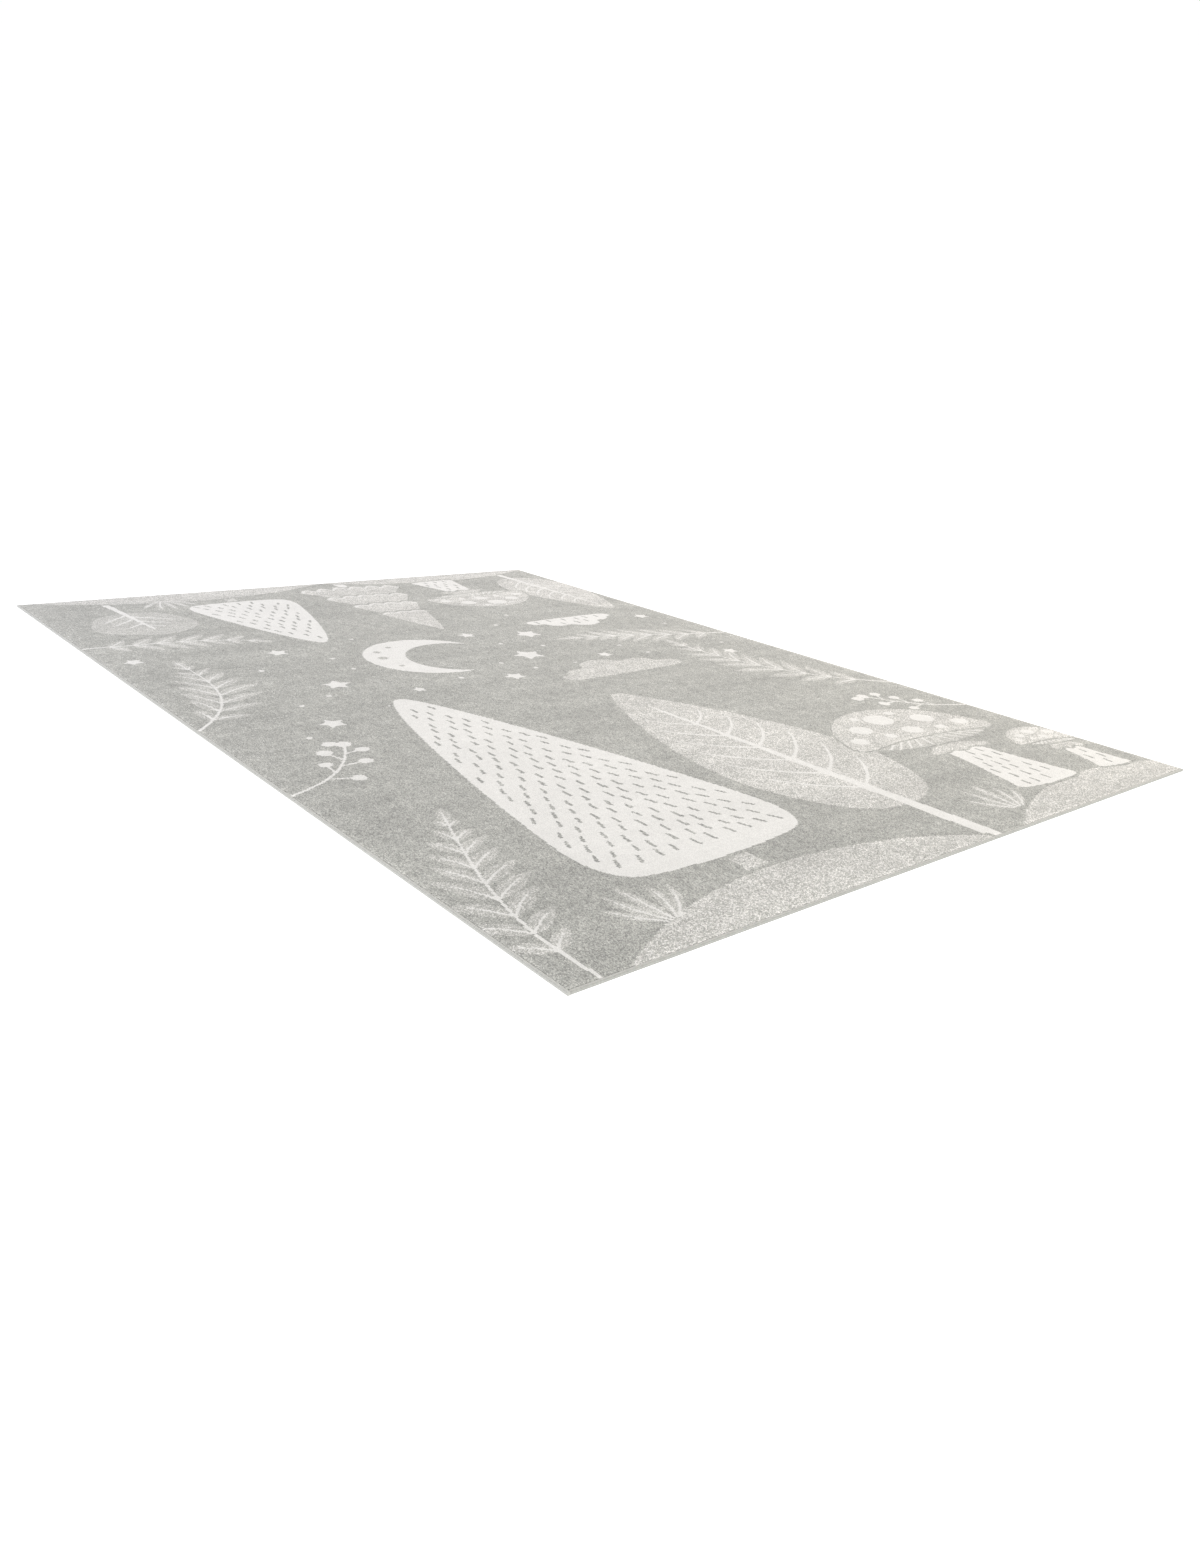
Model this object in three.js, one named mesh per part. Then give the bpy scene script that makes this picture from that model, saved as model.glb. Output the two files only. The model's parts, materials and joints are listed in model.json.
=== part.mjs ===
// Kids rug, 160 x 230 cm: a machine-woven short-pile rug lying flat on the floor.
//
// The rug is one woven body (coated back and cut pile) whose four edges are
// overcast with yarn. Each overcast edge is a slim rounded bead beside the pile:
// the two long ones run from end to end, and the two short ones fit between them.
//
// Millimetres, +Z up. Origin: middle of the underside, on the floor.
// +X across the rug, +Y along its length.

import * as THREE from 'three';

// ---------------------------------------------------------------- sizes
const RUG_WIDTH = 1600; // over both overcast long edges
const RUG_LENGTH = 2300; // over both overcast short edges
const PILE_TOP = 7; // pile tips above the floor

const EDGE_WIDTH = 5; // how far an overcast edge stands out from the pile
const EDGE_HEIGHT = 5.2; // top of the overcast edge, below the pile tips
const EDGE_FOOT_ROUND = 1; // radius of its two lower corners
const EDGE_CROWN_ROUND = 2.3; // radius of its two upper corners

const GAP = 0.3; // clearance between neighbouring pieces
const BODY_CORNER = 4; // plan radius of the pile's corners
const BODY_CORNER_STEPS = 4; // straight steps in each rounded corner

// Sections of the woven body from the back to the pile tips. inset is how far the
// section's outline lies inside the body's widest outline.
const BODY_SECTIONS = [
  { part: 'back, flat on the floor', z: 0, inset: 0.4 },
  { part: 'back, full width', z: 0.4, inset: 0 },
  { part: 'foot of the pile', z: 4.6, inset: 0 },
  { part: 'outer tufts lean over', z: 5.8, inset: 0.3 },
  { part: 'outer tufts round off', z: 6.6, inset: 1.1 },
  { part: 'pile tips, flat', z: PILE_TOP, inset: 2.6 },
];

// The four overcast edges. turn is the direction in which the edge faces, in
// degrees from +X; run is its length.
const SHORT_RUN = RUG_WIDTH - 2 * (EDGE_WIDTH + GAP);
const EDGES = [
  { name: 'edge_long_right', turn: 0, reach: RUG_WIDTH / 2, run: RUG_LENGTH },
  { name: 'edge_long_left', turn: 180, reach: RUG_WIDTH / 2, run: RUG_LENGTH },
  { name: 'edge_short_back', turn: 90, reach: RUG_LENGTH / 2, run: SHORT_RUN },
  { name: 'edge_short_front', turn: 270, reach: RUG_LENGTH / 2, run: SHORT_RUN },
];

// ---------------------------------------------------------------- materials
const pileMaterial = new THREE.MeshStandardMaterial({
  name: 'pile',
  color: 0xbfbeb9,
  roughness: 0.95,
  metalness: 0,
});
const edgeMaterial = new THREE.MeshStandardMaterial({
  name: 'overcast_yarn',
  color: 0xc4c4be,
  roughness: 0.85,
  metalness: 0,
});

// ---------------------------------------------------------------- woven body
// Plan outline of a rectangle with rounded corners, anticlockwise from above.
function roundedOutline(width, length, radius, steps) {
  const corners = [
    { cx: width / 2 - radius, cy: length / 2 - radius, from: 0 },
    { cx: -width / 2 + radius, cy: length / 2 - radius, from: 90 },
    { cx: -width / 2 + radius, cy: -length / 2 + radius, from: 180 },
    { cx: width / 2 - radius, cy: -length / 2 + radius, from: 270 },
  ];
  const outline = [];
  for (const { cx, cy, from } of corners) {
    for (let i = 0; i <= steps; i++) {
      const a = THREE.MathUtils.degToRad(from + (90 * i) / steps);
      outline.push(new THREE.Vector2(cx + radius * Math.cos(a), cy + radius * Math.sin(a)));
    }
  }
  return outline;
}

// One closed body through the table's sections: a ring of points for each row,
// walls between the rings, and a flat face at the bottom and at the top.
function bodyThroughSections(width, length, radius, steps, sections) {
  const rings = sections.map(({ z, inset }) =>
    roundedOutline(width - 2 * inset, length - 2 * inset, Math.max(radius - inset, 0.8), steps).map(
      (p) => new THREE.Vector3(p.x, p.y, z),
    ),
  );
  const count = rings[0].length;
  const points = rings.flat();
  const at = (ring, i) => ring * count + (i % count);
  const triangles = [];
  for (let r = 0; r < rings.length - 1; r++) {
    for (let i = 0; i < count; i++) {
      triangles.push(at(r, i), at(r, i + 1), at(r + 1, i + 1));
      triangles.push(at(r, i), at(r + 1, i + 1), at(r + 1, i));
    }
  }
  const flatFace = (ring, up) => {
    const plan = rings[ring].map((p) => new THREE.Vector2(p.x, p.y));
    for (const [a, b, c] of THREE.ShapeUtils.triangulateShape(plan, [])) {
      triangles.push(...(up ? [at(ring, a), at(ring, b), at(ring, c)] : [at(ring, a), at(ring, c), at(ring, b)]));
    }
  };
  flatFace(0, false);
  flatFace(rings.length - 1, true);
  const geometry = new THREE.BufferGeometry().setFromPoints(points);
  geometry.setIndex(triangles);
  geometry.computeVertexNormals();
  return geometry;
}

const bodyWidth = RUG_WIDTH - 2 * (EDGE_WIDTH + GAP);
const bodyLength = RUG_LENGTH - 2 * (EDGE_WIDTH + GAP);
const wovenBody = new THREE.Mesh(
  bodyThroughSections(bodyWidth, bodyLength, BODY_CORNER, BODY_CORNER_STEPS, BODY_SECTIONS),
  pileMaterial,
);
wovenBody.name = 'woven_body';

// ---------------------------------------------------------------- overcast edges
// Section of an overcast edge: x is outwards from the pile, y is up.
function edgeSection() {
  const foot = EDGE_FOOT_ROUND;
  const crown = EDGE_CROWN_ROUND;
  const section = new THREE.Shape();
  section.moveTo(0, foot);
  section.absarc(foot, foot, foot, Math.PI, 1.5 * Math.PI, false);
  section.lineTo(EDGE_WIDTH - foot, 0);
  section.absarc(EDGE_WIDTH - foot, foot, foot, 1.5 * Math.PI, 2 * Math.PI, false);
  section.lineTo(EDGE_WIDTH, EDGE_HEIGHT - crown);
  section.absarc(EDGE_WIDTH - crown, EDGE_HEIGHT - crown, crown, 0, 0.5 * Math.PI, false);
  section.absarc(crown, EDGE_HEIGHT - crown, crown, 0.5 * Math.PI, Math.PI, false);
  section.lineTo(0, foot);
  return section;
}

const rug = new THREE.Group();
rug.add(wovenBody);

for (const { name, turn, reach, run } of EDGES) {
  const geometry = new THREE.ExtrudeGeometry(edgeSection(), {
    depth: run,
    bevelEnabled: false,
    curveSegments: 4,
  });
  // outwards along +X, up along +Z, centred on its run along Y
  geometry.translate(0, 0, -run / 2);
  geometry.rotateX(Math.PI / 2);
  const edge = new THREE.Mesh(geometry, edgeMaterial);
  edge.name = name;
  const facing = THREE.MathUtils.degToRad(turn);
  edge.rotation.z = facing;
  edge.position.set(Math.cos(facing) * (reach - EDGE_WIDTH), Math.sin(facing) * (reach - EDGE_WIDTH), 0);
  rug.add(edge);
}

export default rug;
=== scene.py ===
"""Looks for the kids rug: cut pile woven to a chart, ribbed back, four overcast edges.

The pile is woven to a chart of tuft cells, as a loom does it: one yarn number for
each cell. The chart's outlines become the mesh of the pile's face, one material for
each yarn. The picture is a plain woodland with a night sky, drawn here from simple
motifs. Metres, same frame as the CAD; the chart is drawn in millimetres.
"""

import json
import math

import bpy
import numpy as np
from mathutils import Matrix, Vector
from mathutils.geometry import delaunay_2d_cdt

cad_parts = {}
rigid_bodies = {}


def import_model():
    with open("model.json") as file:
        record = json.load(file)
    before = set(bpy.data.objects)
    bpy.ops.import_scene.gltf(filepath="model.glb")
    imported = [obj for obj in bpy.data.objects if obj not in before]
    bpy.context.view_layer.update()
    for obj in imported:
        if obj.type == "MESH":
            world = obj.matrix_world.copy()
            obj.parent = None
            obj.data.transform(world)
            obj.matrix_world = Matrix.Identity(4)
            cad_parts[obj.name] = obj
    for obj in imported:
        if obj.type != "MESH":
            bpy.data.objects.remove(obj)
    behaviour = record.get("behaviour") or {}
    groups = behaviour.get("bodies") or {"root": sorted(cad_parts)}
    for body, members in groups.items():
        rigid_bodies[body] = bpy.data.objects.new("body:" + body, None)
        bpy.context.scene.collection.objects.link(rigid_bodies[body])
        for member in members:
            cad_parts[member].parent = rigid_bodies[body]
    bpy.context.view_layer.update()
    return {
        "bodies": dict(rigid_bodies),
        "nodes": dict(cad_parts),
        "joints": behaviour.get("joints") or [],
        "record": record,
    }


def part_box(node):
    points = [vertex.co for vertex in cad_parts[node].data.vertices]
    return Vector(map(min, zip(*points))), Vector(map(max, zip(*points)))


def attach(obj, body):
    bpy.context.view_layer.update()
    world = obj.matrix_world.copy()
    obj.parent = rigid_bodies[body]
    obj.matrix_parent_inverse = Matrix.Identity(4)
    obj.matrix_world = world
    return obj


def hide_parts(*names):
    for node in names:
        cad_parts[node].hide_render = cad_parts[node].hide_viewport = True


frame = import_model()

MM = 0.001

# ================================================================== the chart

CHART_W, CHART_L = 1584.2, 2284.2  # mm, the flat of the pile
CELL = 3.0                            # mm, one tuft cell
GROUND, CREAM, HEATHER, HALF, MARK = range(5)

NX, NY = int(round(CHART_W / CELL)), int(round(CHART_L / CELL))
CX = (np.arange(NX) + 0.5) * CHART_W / NX - CHART_W / 2
CY = (np.arange(NY) + 0.5) * CHART_L / NY - CHART_L / 2
chart = np.zeros((NY, NX), np.int8)


# ------------------------------------------------------------------ drawing tools
class Window:
    """The cells in a box round some points, with their places in mm."""

    def __init__(self, xs, ys, margin=12.0):
        i0, i1 = np.searchsorted(CX, [min(xs) - margin, max(xs) + margin])
        j0, j1 = np.searchsorted(CY, [min(ys) - margin, max(ys) + margin])
        self.rows, self.cols = slice(j0, j1), slice(i0, i1)
        self.x, self.y = np.meshgrid(CX[self.cols], CY[self.rows])
        self.empty = self.x.size == 0

    def cells(self):
        return chart[self.rows, self.cols]


def dilated(mask, cells):
    """mask grown by a disc of that many cells."""
    if cells < 1:
        return mask
    out = mask.copy()
    h, w = mask.shape
    r = int(math.ceil(cells))
    for dj in range(-r, r + 1):
        for di in range(-r, r + 1):
            if di * di + dj * dj > cells * cells + 0.5:
                continue
            a0, a1 = max(0, dj), min(h, h + dj)
            b0, b1 = max(0, di), min(w, w + di)
            out[a0:a1, b0:b1] |= mask[a0 - dj : a1 - dj, b0 - di : b1 - di]
    return out


def put(window, mask, yarn, outline=0.0, over=None):
    """Weaves mask in one yarn. outline: a band of ground round it, in mm. over: only where these yarns are now."""
    if window.empty or not mask.any():
        return
    cells = window.cells()
    if over is not None:
        mask = mask & np.isin(cells, over)
    if outline:
        cells[dilated(mask, outline / CELL)] = GROUND
    cells[mask] = yarn


def inside(window, outline):
    """Cells whose middle lies inside a closed outline."""
    p = np.asarray(outline, float)
    x0, y0 = p[:, 0], p[:, 1]
    x1, y1 = np.roll(x0, -1), np.roll(y0, -1)
    ys = window.y[:, :1]
    xs = window.x[0]
    mask = np.zeros(window.x.shape, bool)
    for r in range(mask.shape[0]):
        y = ys[r, 0]
        hit = (y0 <= y) != (y1 <= y)
        if not hit.any():
            continue
        at = x0[hit] + (y - y0[hit]) / (y1[hit] - y0[hit]) * (x1[hit] - x0[hit])
        mask[r] = (np.searchsorted(np.sort(at), xs) % 2).astype(bool)
    return mask


def smooth(points, steps=10, closed=True):
    """A soft curve through points."""
    p = np.asarray(points, float)
    if closed:
        a, b, c, d = np.roll(p, 1, 0), p, np.roll(p, -1, 0), np.roll(p, -2, 0)
    else:
        q = np.vstack([2 * p[0] - p[1], p, 2 * p[-1] - p[-2]])
        a, b, c, d = q[:-3], q[1:-2], q[2:-1], q[3:]
    t = np.linspace(0, 1, steps, endpoint=False)[None, :, None]
    a, b, c, d = (v[:, None, :] for v in (a, b, c, d))
    out = 0.5 * (2 * b + (c - a) * t + (2 * a - 5 * b + 4 * c - d) * t**2 + (3 * b - a - 3 * c + d) * t**3)
    out = out.reshape(-1, 2)
    return out if closed else np.vstack([out, p[-1]])


class Frame:
    """Where a motif stands: its foot, its tilt in degrees, its size. Local v is up the motif."""

    def __init__(self, x, y, tilt=0.0, size=1.0, flip=False):
        self.x, self.y, self.size, self.flip = x, y, size, -1.0 if flip else 1.0
        a = math.radians(tilt)
        self.c, self.s = math.cos(a), math.sin(a)

    def out(self, points):
        p = np.atleast_2d(np.asarray(points, float)) * self.size
        u, v = p[:, 0] * self.flip, p[:, 1]
        return np.stack([self.x + u * self.c - v * self.s, self.y + u * self.s + v * self.c], 1)

    def into(self, window):
        dx, dy = window.x - self.x, window.y - self.y
        u, v = dx * self.c + dy * self.s, -dx * self.s + dy * self.c
        return u / self.size * self.flip, v / self.size


def area(frame, outline, yarn, keyline=0.0, over=None, round_=True, steps=10):
    pts = frame.out(smooth(outline, steps) if round_ else outline)
    w = Window(pts[:, 0], pts[:, 1])
    if w.empty:
        return
    put(w, inside(w, pts), yarn, keyline, over)


def stroke(points, wide, wide_end=None, yarn=CREAM, over=None, keyline=0.0, gaps=None):
    """A line of a given width, tapering to wide_end. gaps is not used."""
    p = np.asarray(points, float)
    wide_end = wide if wide_end is None else wide_end
    w = Window(p[:, 0], p[:, 1], 12 + max(wide, wide_end))
    if w.empty:
        return
    leg = np.hypot(*np.diff(p, axis=0).T)
    run = np.concatenate([[0], np.cumsum(leg)])
    total = max(run[-1], 1e-9)
    best = np.full(w.x.shape, 1e9)
    for (ax, ay), (bx, by), r0, r1 in zip(p[:-1], p[1:], run[:-1], run[1:]):
        dx, dy = bx - ax, by - ay
        ll = dx * dx + dy * dy
        if ll < 1e-9:
            continue
        t = np.clip(((w.x - ax) * dx + (w.y - ay) * dy) / ll, 0, 1)
        d = np.hypot(w.x - ax - t * dx, w.y - ay - t * dy)
        half = 0.5 * (wide + (wide_end - wide) * (r0 + t * (r1 - r0)) / total)
        best = np.minimum(best, d - half)
    put(w, best < 0, yarn, keyline, over)


def ellipse(frame, u, v, ru, rv, yarn, keyline=0.0, over=None, turn=0.0):
    a = np.linspace(0, 2 * np.pi, 72, endpoint=False)
    t = math.radians(turn)
    eu, ev = ru * np.cos(a), rv * np.sin(a)
    pts = np.stack([u + eu * math.cos(t) - ev * math.sin(t), v + eu * math.sin(t) + ev * math.cos(t)], 1)
    area(frame, pts, yarn, keyline, over, round_=False)


def leaf(x, y, toward, long, wide, yarn=HALF, rib=5.0, rib_to=0.72, bend=0.0, over=None):
    """A slim leaf from its foot at x, y. toward: degrees. bend: sideways bow, as a share of its length."""
    t = np.linspace(0, 1, 15)
    half = 0.5 * wide * np.sin(np.pi * t**0.82) ** 0.9
    bow = bend * long * np.sin(np.pi * t)
    up = np.stack([t * long, bow + half], 1)
    down = np.stack([t * long, bow - half], 1)[::-1]
    f = Frame(x, y, toward - 90.0)
    turn = lambda p: np.stack([-p[:, 1], p[:, 0]], 1)
    area(f, turn(np.vstack([up, down[1:-1]])), yarn, round_=False, over=over)
    if rib:
        k = t <= rib_to
        stroke(f.out(turn(np.stack([t[k] * long, bow[k]], 1))), rib, rib * 0.55, CREAM)


def bezier(a, b, c, d, n=26):
    t = np.linspace(0, 1, n)[:, None]
    a, b, c, d = (np.asarray(q, float) for q in (a, b, c, d))
    return (1 - t) ** 3 * a + 3 * (1 - t) ** 2 * t * b + 3 * (1 - t) * t**2 * c + t**3 * d


# ------------------------------------------------------------------ motifs
def frond(points, pairs, longest, wide, first=0.16, stem=6.5, tip=True, lean=52.0, seed=0):
    """A fern frond: a bowed cream stem with pairs of half-tone leaflets."""
    rng = np.random.default_rng(seed)
    p = bezier(*points)
    leg = np.hypot(*np.diff(p, axis=0).T)
    run = np.concatenate([[0], np.cumsum(leg)]) / leg.sum()
    for k in range(pairs):
        s = first + (0.965 - first) * k / (pairs - 1)
        at = np.array([np.interp(s, run, p[:, 0]), np.interp(s, run, p[:, 1])])
        ahead = np.array([np.interp(min(s + 0.02, 1), run, p[:, 0]), np.interp(min(s + 0.02, 1), run, p[:, 1])])
        back = np.array([np.interp(s - 0.02, run, p[:, 0]), np.interp(s - 0.02, run, p[:, 1])])
        way = math.degrees(math.atan2(*(ahead - back)[::-1]))
        grow = math.sin(math.pi * (0.10 + 0.86 * (1 - (1 - (k + 0.7) / pairs) ** 1.25))) ** 0.65
        size = longest * max(0.30, grow)
        for side in (1, -1):
            a = lean - 14 * s + rng.uniform(-4, 4)
            leaf(at[0], at[1], way + side * a, size * rng.uniform(0.92, 1.06), wide * (0.45 + 0.55 * size / longest), bend=-0.05 * side)
    stroke(p, stem, stem * 0.6)
    if tip:
        leaf(p[-1][0], p[-1][1], math.degrees(math.atan2(*(p[-1] - p[-3])[::-1])), longest * 0.55, wide * 0.7)


def ticks(frame, inside_test, pitch_u, pitch_v, long, wide, yarn=MARK, over=(CREAM,), lean=0.0, box=(0, 0, 0, 0), seed=0):
    """Rows of short marks, every other row set over, each a little out of line."""
    rng = np.random.default_rng(seed)
    u0, v0, u1, v1 = box
    row = 0
    v = v0
    while v < v1:
        u = u0 + (0.5 * pitch_u if row % 2 else 0.0)
        while u < u1:
            a, b, c, d = rng.uniform(-1, 1, 4)
            uu, vv = u + a * 0.13 * pitch_u, v + b * 0.10 * pitch_v
            if inside_test(uu, vv):
                ang = math.radians(lean * (uu / max(abs(u0), 1)) + 5 * c)
                l = long * (1 + 0.16 * d) / 2
                pts = [(uu - l * math.sin(ang), vv - l * math.cos(ang)), (uu + l * math.sin(ang), vv + l * math.cos(ang))]
                stroke(frame.out(pts), wide, wide * 0.8, yarn, over=over)
            u += pitch_u
        v += pitch_v
        row += 1


TALL = [(-0.47, 0.13), (-0.44, 0.035), (-0.33, 0.0), (0.0, -0.012), (0.33, 0.0), (0.44, 0.035), (0.47, 0.13), (0.40, 0.34), (0.285, 0.60), (0.15, 0.85), (0.055, 0.975), (0.0, 1.0), (-0.055, 0.975), (-0.15, 0.85), (-0.285, 0.60), (-0.40, 0.34)]


def tall_tree(x, y, tilt, high, wide, trunk=90.0, yarn=CREAM, marks=True, seed=0):
    """A tall round-cornered fir on a short trunk, with rows of needle marks."""
    f = Frame(x, y, tilt)
    stroke(f.out([(0, -12), (0, trunk + 20)]), 0.115 * wide, 0.085 * wide, HEATHER if yarn == CREAM else CREAM, keyline=9)
    outline = np.array(TALL) * [wide, high] + [0, trunk]
    area(f, outline, yarn, keyline=9)
    if marks:
        def within(u, v):
            t = (v - trunk) / high
            if not 0.045 < t < 0.93:
                return False
            edge = np.interp(t, [0, 0.035, 0.13, 0.34, 0.60, 0.85, 0.975], [0.33, 0.44, 0.47, 0.40, 0.285, 0.15, 0.055]) * wide
            return abs(u) < edge - 17
        ticks(f, within, 40, 33, 20, 6.8, box=(-0.5 * wide, trunk + 22, 0.5 * wide, trunk + high), lean=-34, seed=seed)


def tier_fir(x, y, tilt, high, wide, tiers=4, trunk=70.0, yarn=HEATHER, trim=CREAM, seed=0):
    """A fir of stacked skirts with scalloped hems, each hem edged in a light line."""
    f = Frame(x, y, tilt)
    stroke(f.out([(0, -10), (0, trunk + 30)]), 0.10 * wide, 0.085 * wide, CREAM, keyline=9)
    for k in range(tiers):
        s = 1 - 0.76 * k / tiers
        v0 = trunk + high * 0.80 * k / tiers
        v1 = trunk + high * (0.80 * (k + 1) / tiers + 0.20) if k < tiers - 1 else trunk + high
        w = 0.5 * wide * s
        lobes = max(3, 6 - k)
        t = np.linspace(-1, 1, lobes * 10 + 1)
        hem_v = v0 - 0.050 * high * s * np.abs(np.sin(np.pi * (t + 1) * lobes / 2)) + 0.055 * high * s * t**2 * 0.6
        hem = np.stack([t * w, hem_v], 1)
        q = np.linspace(0, 1, 14)[1:]
        right = np.stack([w * (1 - q) ** 0.86 + 0.004 * wide, v0 + 0.033 * high * s + (v1 - v0 - 0.033 * high * s) * q], 1)
        left = (right * [-1, 1])[::-1]
        area(f, np.vstack([hem, right, left]), yarn, keyline=9, round_=False)
        line = f.out(np.stack([t * w * 0.97, hem_v + 9], 1))
        stroke(line, 7.5, 7.5, trim, over=(yarn,))


def leaf_tree(x, y, tilt, high, wide, trunk=110.0, yarn=HEATHER, ribs=6):
    """A drop-shaped tree with light branches."""
    f = Frame(x, y, tilt)
    outline = np.array([(-0.30, 0.06), (-0.48, 0.26), (-0.46, 0.48), (-0.30, 0.74), (-0.09, 0.955), (0, 1.0), (0.09, 0.955), (0.30, 0.74), (0.46, 0.48), (0.48, 0.26), (0.30, 0.06), (0, 0.0)]) * [wide, high] + [0, trunk]
    area(f, outline, yarn, keyline=9)
    for k in range(ribs):
        t = 0.12 + 0.66 * k / ribs
        v = trunk + high * t
        reach = wide * np.interp(t + 0.10, [0, 0.06, 0.26, 0.48, 0.74, 0.955, 1], [0.0, 0.30, 0.48, 0.46, 0.30, 0.09, 0.0]) * 0.74
        rise = reach * 0.95
        for side in (1, -1):
            p = bezier((0, v + (7 if side > 0 else 0)), (side * reach * 0.35, v + rise * 0.22), (side * reach * 0.75, v + rise * 0.55), (side * reach, v + rise), 12)
            stroke(f.out(p), 8.0, 4.0, CREAM)
    stroke(f.out([(0, -12), (0, trunk), (0, trunk + high * 0.86)]), 0.085 * wide, 6.0, CREAM)


def round_tree(x, y, tilt, across, trunk=170.0, yarn=HALF):
    """A round tree with a forked light trunk."""
    f = Frame(x, y, tilt)
    r = across / 2
    a = np.linspace(0, 2 * np.pi, 22, endpoint=False)
    wob = 1 + 0.035 * np.sin(3 * a + 0.6) + 0.025 * np.sin(5 * a)
    area(f, np.stack([r * wob * np.cos(a), trunk + r + r * wob * np.sin(a)], 1), yarn, keyline=9)
    top = trunk + r * 1.52
    stroke(f.out([(0, -12), (0, trunk), (0, top)]), 0.085 * across, 6.0, CREAM)
    for k, (s, ln, sd) in enumerate([(0.10, 0.62, 1), (0.26, 0.66, -1), (0.48, 0.58, 1), (0.70, 0.50, -1), (0.92, 0.38, 1), (1.10, 0.30, -1)]):
        v = trunk + r * s
        p = bezier((0, v), (sd * ln * r * 0.25, v + ln * r * 0.38), (sd * ln * r * 0.62, v + ln * r * 0.52), (sd * ln * r * 0.98, v + ln * r * 0.86), 12)
        stroke(f.out(p), 7.5, 4.0, CREAM)


def mushroom(x, y, tilt, high, cap, stem, seed=0, dots=True):
    """A toadstool: light stem with marks and a collar, speckled cap with light spots."""
    f = Frame(x, y, tilt)
    cap_h = cap * 0.50
    foot = stem * 0.5
    body = [(-foot * 1.25, 0.0), (-foot * 1.32, 0.10 * high), (-foot * 0.92, 0.34 * high), (-foot * 0.74, high - cap_h * 0.9), (-foot * 0.70, high - cap_h * 0.5), (foot * 0.70, high - cap_h * 0.5), (foot * 0.74, high - cap_h * 0.9), (foot * 0.92, 0.34 * high), (foot * 1.32, 0.10 * high), (foot * 1.25, 0.0)]
    area(f, body, CREAM, keyline=9, steps=8)
    def within(u, v):
        t = v / high
        edge = np.interp(t, [0, 0.10, 0.34, 0.8], [1.25, 1.32, 0.92, 0.72]) * foot
        return abs(u) < edge - 13 and 0.04 < t and v < high - cap_h * 1.22
    ticks(f, within, 34, 33, 18, 6.6, box=(-stem, 20, stem, high), lean=0, seed=seed)
    # collar
    cv = high - cap_h * 1.16
    collar = [(-foot * 0.80, cv + 14), (-foot * 1.42, cv - 12), (-foot * 0.95, cv - 22), (-foot * 0.45, cv - 13), (0, cv - 24), (foot * 0.45, cv - 13), (foot * 0.95, cv - 22), (foot * 1.42, cv - 12), (foot * 0.80, cv + 14), (0, cv + 18)]
    area(f, collar, HEATHER, keyline=7, steps=6)
    # gills: a half-tone lens under the cap
    base = high - cap_h * 0.86
    ellipse(f, 0, base + 2, cap * 0.425, cap_h * 0.20, HALF, keyline=8)
    for k in range(-5, 6):
        stroke(f.out([(k * cap * 0.045, base + cap_h * 0.05), (k * cap * 0.076, base - cap_h * 0.15)]), 5, 4, CREAM, over=(HALF,))
    dome = [(-0.50 * cap, base + 0.04 * cap_h), (-0.485 * cap, base + 0.20 * cap_h), (-0.40 * cap, base + 0.52 * cap_h), (-0.22 * cap, base + 0.80 * cap_h), (0, base + 0.90 * cap_h), (0.22 * cap, base + 0.80 * cap_h), (0.40 * cap, base + 0.52 * cap_h), (0.485 * cap, base + 0.20 * cap_h), (0.50 * cap, base + 0.04 * cap_h), (0.44 * cap, base - 0.03 * cap_h), (0.22 * cap, base + 0.03 * cap_h), (0, base + 0.05 * cap_h), (-0.22 * cap, base + 0.03 * cap_h), (-0.44 * cap, base - 0.03 * cap_h)]
    area(f, dome, HEATHER, keyline=8, steps=8)
    if dots:
        for u, v, r in [(-0.02, 0.60, 0.085), (-0.24, 0.44, 0.062), (0.23, 0.46, 0.068), (-0.385, 0.20, 0.048), (0.02, 0.24, 0.058), (0.375, 0.22, 0.050), (-0.17, 0.19, 0.034), (0.20, 0.18, 0.032), (-0.13, 0.72, 0.028), (0.13, 0.72, 0.030)]:
            ellipse(f, u * cap, base + v * cap_h, r * cap, r * cap * 0.86, CREAM)


def cloud(x, y, tilt, wide, yarn, marks=0, seed=0):
    f = Frame(x, y, tilt)
    w = wide / 2
    outline = [(-0.98, 0.10), (-0.90, -0.02), (-0.70, -0.05), (0.0, -0.06), (0.70, -0.05), (0.93, -0.01), (0.99, 0.12), (0.90, 0.26), (0.72, 0.30), (0.66, 0.45), (0.46, 0.56), (0.24, 0.53), (0.12, 0.66), (-0.12, 0.74), (-0.36, 0.64), (-0.47, 0.44), (-0.64, 0.44), (-0.80, 0.33), (-0.84, 0.24), (-0.95, 0.21)]
    area(f, np.array(outline) * [w, w * 0.86], yarn, keyline=9, steps=7)
    if marks:
        ticks(f, lambda u, v: abs(u) < 0.78 * w and 0.02 * w < v < (0.30 if abs(u) > 0.5 * w else 0.44) * w, 44, 34, 19, 6.8, box=(-w, 14, w, w), lean=0, seed=seed)


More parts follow.
